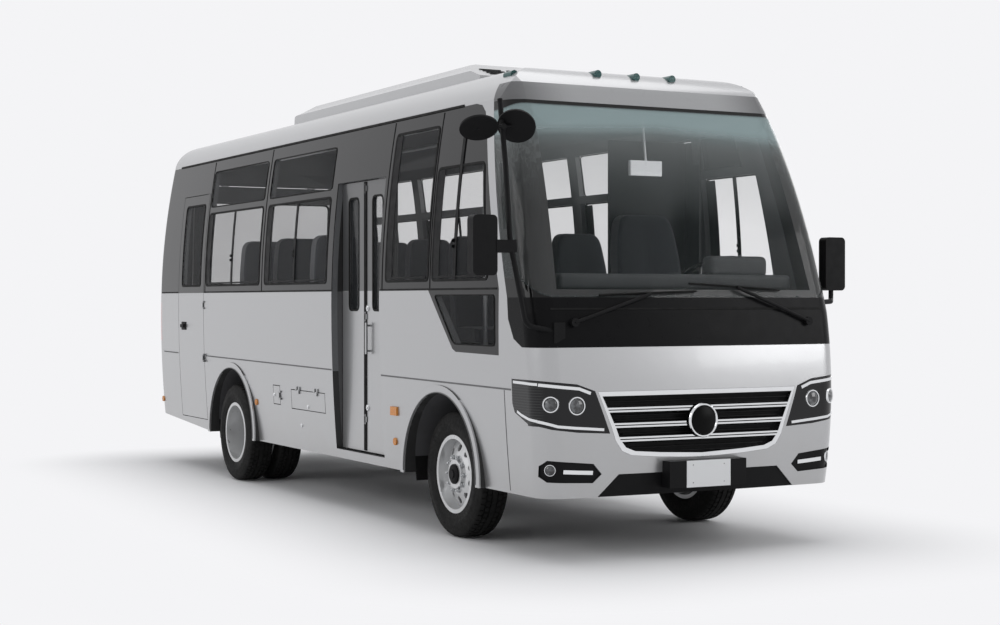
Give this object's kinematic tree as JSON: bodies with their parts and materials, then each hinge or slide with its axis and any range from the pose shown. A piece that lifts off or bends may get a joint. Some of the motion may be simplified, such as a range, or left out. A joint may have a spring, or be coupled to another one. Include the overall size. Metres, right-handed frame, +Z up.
{
  "type": "passenger minibus",
  "caption": "Forward-control passenger minibus with folding side entrance, rear side door, tailgate, twin rear wheels and a roof cooling unit.",
  "frame": {"origin": "on the ground, on the centre line, at mid length", "axes": "+X forward, +Y to the vehicle's left, +Z up"},
  "size_m": [7.167, 2.7084, 2.99],
  "materials": {
    "body_silver": "metallic silver paint",
    "black_gloss": "gloss black",
    "dark_glass": "tinted",
    "screen_glass": "laminated, tinted top",
    "lamp_lens": "clear lens",
    "red_lens": "red lens",
    "amber_lens": "amber and green lenses",
    "chrome": "bright",
    "black_plastic": "moulded",
    "plate_white": "blank plate",
    "frame_black": "chassis paint",
    "floor_vinyl": "floor covering",
    "step_metal": "tread plate",
    "cast": "cast",
    "tyre": "black",
    "rim_silver": "silver wheel paint",
    "seat_fabric": "woven",
    "dash_grey": "grained",
    "rubber": "matt"
  },
  "bodies": {
    "body": {"side_wall_right": "body_silver", "side_wall_left": "body_silver", "side_glass": "dark_glass", "roof_panel": "body_silver", "nose_panel": "body_silver", "windscreen": "screen_glass", "screen_surround": "black_gloss", "headlamps": "lamp_lens", "nose_trim": "black_plastic", "grille_bars": "chrome", "number_plates": "plate_white", "tail_panel": "body_silver", "tail_lamps": "red_lens", "rear_bumper": "body_silver", "roof_unit": "body_silver", "marker_lamps": "amber_lens", "mirrors": "black_plastic", "wipers": "black_plastic", "floor": "floor_vinyl", "entrance_well": "step_metal", "engine_cover": "dash_grey", "chassis_frame": "frame_black", "engine_block": "cast", "propeller_shaft": "cast", "fuel_tank": "step_metal", "exhaust": "cast", "leaf_springs": "cast", "front_axle": "cast", "rear_axle": "cast", "mud_flaps": "rubber", "dashboard": "dash_grey", "driver_seat": "seat_fabric", "passenger_seats": "seat_fabric", "cabin_rails": "step_metal"},
    "knuckle_left": {"knuckle_left": "cast"},
    "knuckle_right": {"knuckle_right": "cast"},
    "wheel_front_left": {"tyre_front_left": "tyre", "rim_front_left": "rim_silver"},
    "wheel_front_right": {"tyre_front_right": "tyre", "rim_front_right": "rim_silver"},
    "wheels_rear_left": {"tyres_rear_left": "tyre", "rims_rear_left": "rim_silver"},
    "wheels_rear_right": {"tyres_rear_right": "tyre", "rims_rear_right": "rim_silver"},
    "steering_wheel": {"steering_wheel": "black_plastic"},
    "entry_leaf_rear": {"entry_leaf_rear": "body_silver", "entry_glass_rear": "dark_glass"},
    "entry_leaf_front": {"entry_leaf_front": "body_silver", "entry_glass_front": "dark_glass"},
    "rear_door": {"rear_door": "body_silver", "rear_door_glass": "dark_glass"},
    "tailgate": {"tailgate": "body_silver", "tailgate_glass": "dark_glass"},
    "fuel_flap": {"fuel_flap": "body_silver"},
    "battery_hatch": {"battery_hatch": "body_silver"}
  },
  "joints": [
    {"name": "steer_left", "type": "hinge", "parent": "body", "child": "knuckle_left", "pos_m": [2.21, 0.7, 0.3835], "axis": [0, 0, 1], "range_deg": [-30, 30]},
    {"name": "steer_right", "type": "hinge", "parent": "body", "child": "knuckle_right", "pos_m": [2.21, -0.7, 0.3835], "axis": [0, 0, 1], "range_deg": [-30, 30]},
    {"name": "steering_wheel_turn", "type": "hinge", "parent": "body", "child": "steering_wheel", "pos_m": [2.93, 0.48, 1.59], "axis": [-0.4695, 0, 0.8829], "range_deg": [-360, 360]},
    {"name": "spin_front_left", "type": "hinge", "parent": "knuckle_left", "child": "wheel_front_left", "pos_m": [2.21, 0.835, 0.3835], "axis": [0, 1, 0], "continuous": true},
    {"name": "spin_front_right", "type": "hinge", "parent": "knuckle_right", "child": "wheel_front_right", "pos_m": [2.21, -0.835, 0.3835], "axis": [0, 1, 0], "continuous": true},
    {"name": "spin_rear_left", "type": "hinge", "parent": "body", "child": "wheels_rear_left", "pos_m": [-1.59, 0.7775, 0.3835], "axis": [0, 1, 0], "continuous": true},
    {"name": "spin_rear_right", "type": "hinge", "parent": "body", "child": "wheels_rear_right", "pos_m": [-1.59, -0.7775, 0.3835], "axis": [0, 1, 0], "continuous": true},
    {"name": "entry_fold", "type": "hinge", "parent": "body", "child": "entry_leaf_rear", "pos_m": [0.536, -0.919, 1.33], "axis": [0, 0, 1], "range_deg": [0, 75]},
    {"name": "entry_fold_outer", "type": "hinge", "parent": "entry_leaf_rear", "child": "entry_leaf_front", "pos_m": [0.9335, -0.955, 1.33], "axis": [0, 0, 1], "range_deg": [-150, 0]},
    {"name": "rear_door_hinge", "type": "hinge", "parent": "body", "child": "rear_door", "pos_m": [-2.26, -1.042, 1.4], "axis": [0, 0, 1], "range_deg": [0, 85]},
    {"name": "tailgate_hinge", "type": "hinge", "parent": "body", "child": "tailgate", "pos_m": [-3.512, 0, 2.477], "axis": [0, 1, 0], "range_deg": [0, 85]},
    {"name": "fuel_flap_hinge", "type": "hinge", "parent": "body", "child": "fuel_flap", "pos_m": [-0.513, -1.026, 0.733], "axis": [0, 0, 1], "range_deg": [0, 90]},
    {"name": "battery_hatch_hinge", "type": "hinge", "parent": "body", "child": "battery_hatch", "pos_m": [0.044, -1.026, 0.787], "axis": [-1, 0, 0], "range_deg": [0, 85]}
  ],
  "couplings": [
    {"joint": "steer_right", "follows": "steer_left", "ratio": 1},
    {"joint": "steering_wheel_turn", "follows": "steer_left", "ratio": 12},
    {"joint": "entry_fold_outer", "follows": "entry_fold", "ratio": -2}
  ]
}
